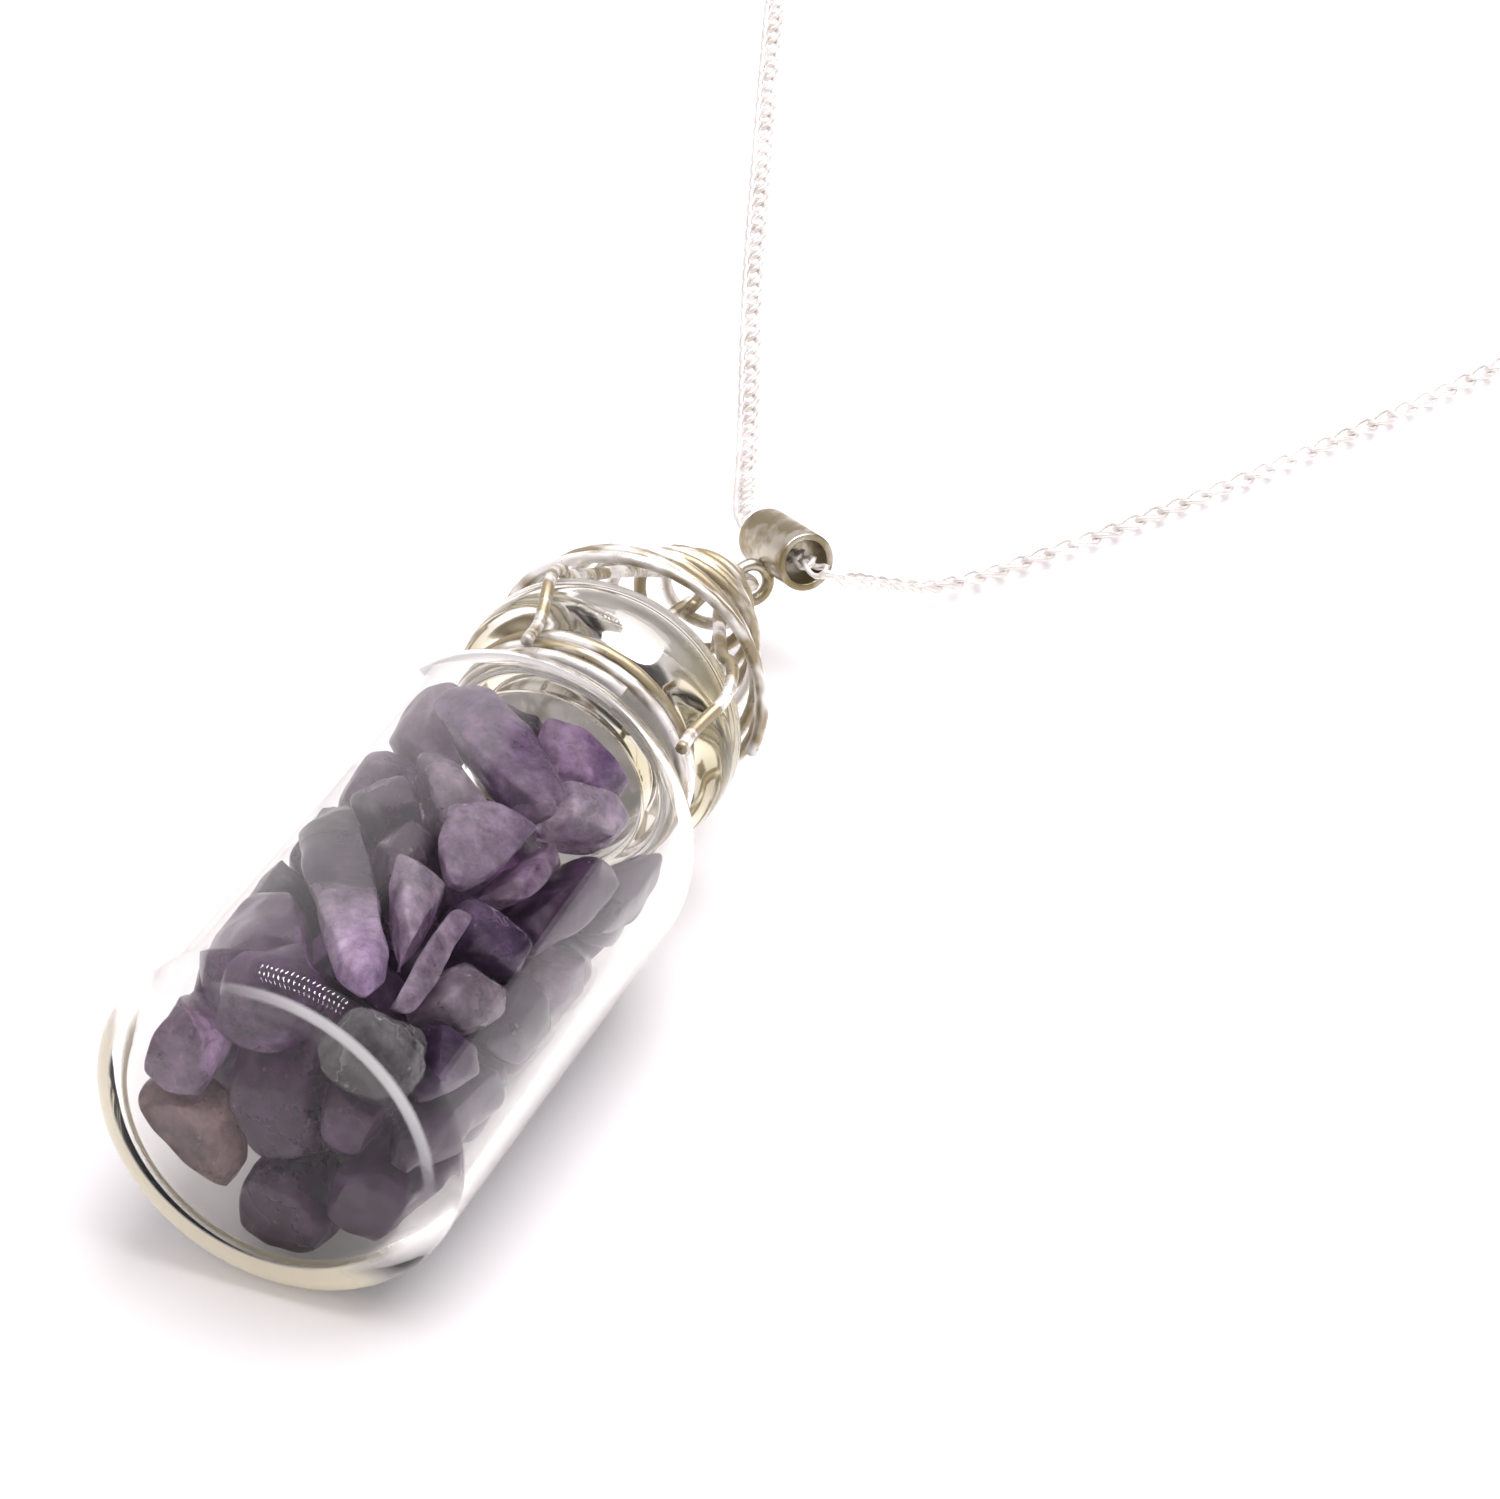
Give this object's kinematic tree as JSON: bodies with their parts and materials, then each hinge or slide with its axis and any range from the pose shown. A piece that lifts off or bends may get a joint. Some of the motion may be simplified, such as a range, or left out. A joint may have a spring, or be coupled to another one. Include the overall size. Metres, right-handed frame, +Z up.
{
  "type": "bottle pendant necklace",
  "caption": "Stoppered glass vial filled with purple stone chips, capped with a cone of wrapped silver wire, hung from a tube bail on a fine chain; lying flat.",
  "frame": {"origin": "middle of the whole necklace's outline on the surface it lies on", "axes": "+Z up from the surface; the vial lies along Y with its flat base towards -Y and its mouth towards +Y"},
  "size_m": [0.1092, 0.2351, 0.016],
  "materials": {
    "clear_glass": "clear, polished, with a faint yellow-green edge",
    "stopper_glass": "clear to milky",
    "wire": "silver-plated wire, bright, slightly warm",
    "bail_metal": "brushed silver plate",
    "chain_metal": "bright silver plate",
    "stone": "tumbled quartz, cloudy purple to dark grey"
  },
  "bodies": {
    "root": {"bottle": "clear_glass", "stopper": "stopper_glass", "neck_wrap": "wire", "stay_1": "wire", "stay_2": "wire", "stay_3": "wire", "stay_4": "wire", "cap_coil": "wire", "end_loop": "wire", "bail": "bail_metal", "chain": "chain_metal", "clasp": "chain_metal", "chip_bed": "stone", "chip_01": "stone", "chip_02": "stone", "chip_03": "stone", "chip_04": "stone", "chip_05": "stone", "chip_06": "stone", "chip_07": "stone", "chip_08": "stone", "chip_09": "stone", "chip_10": "stone", "chip_11": "stone", "chip_12": "stone", "chip_13": "stone", "chip_14": "stone", "chip_15": "stone", "chip_16": "stone", "chip_17": "stone", "chip_18": "stone", "chip_19": "stone", "chip_20": "stone", "chip_21": "stone", "chip_22": "stone", "chip_23": "stone", "chip_24": "stone", "chip_25": "stone", "chip_26": "stone", "chip_27": "stone", "chip_28": "stone", "chip_29": "stone", "chip_30": "stone", "chip_31": "stone", "chip_32": "stone", "chip_33": "stone"}
  },
  "joints": []
}
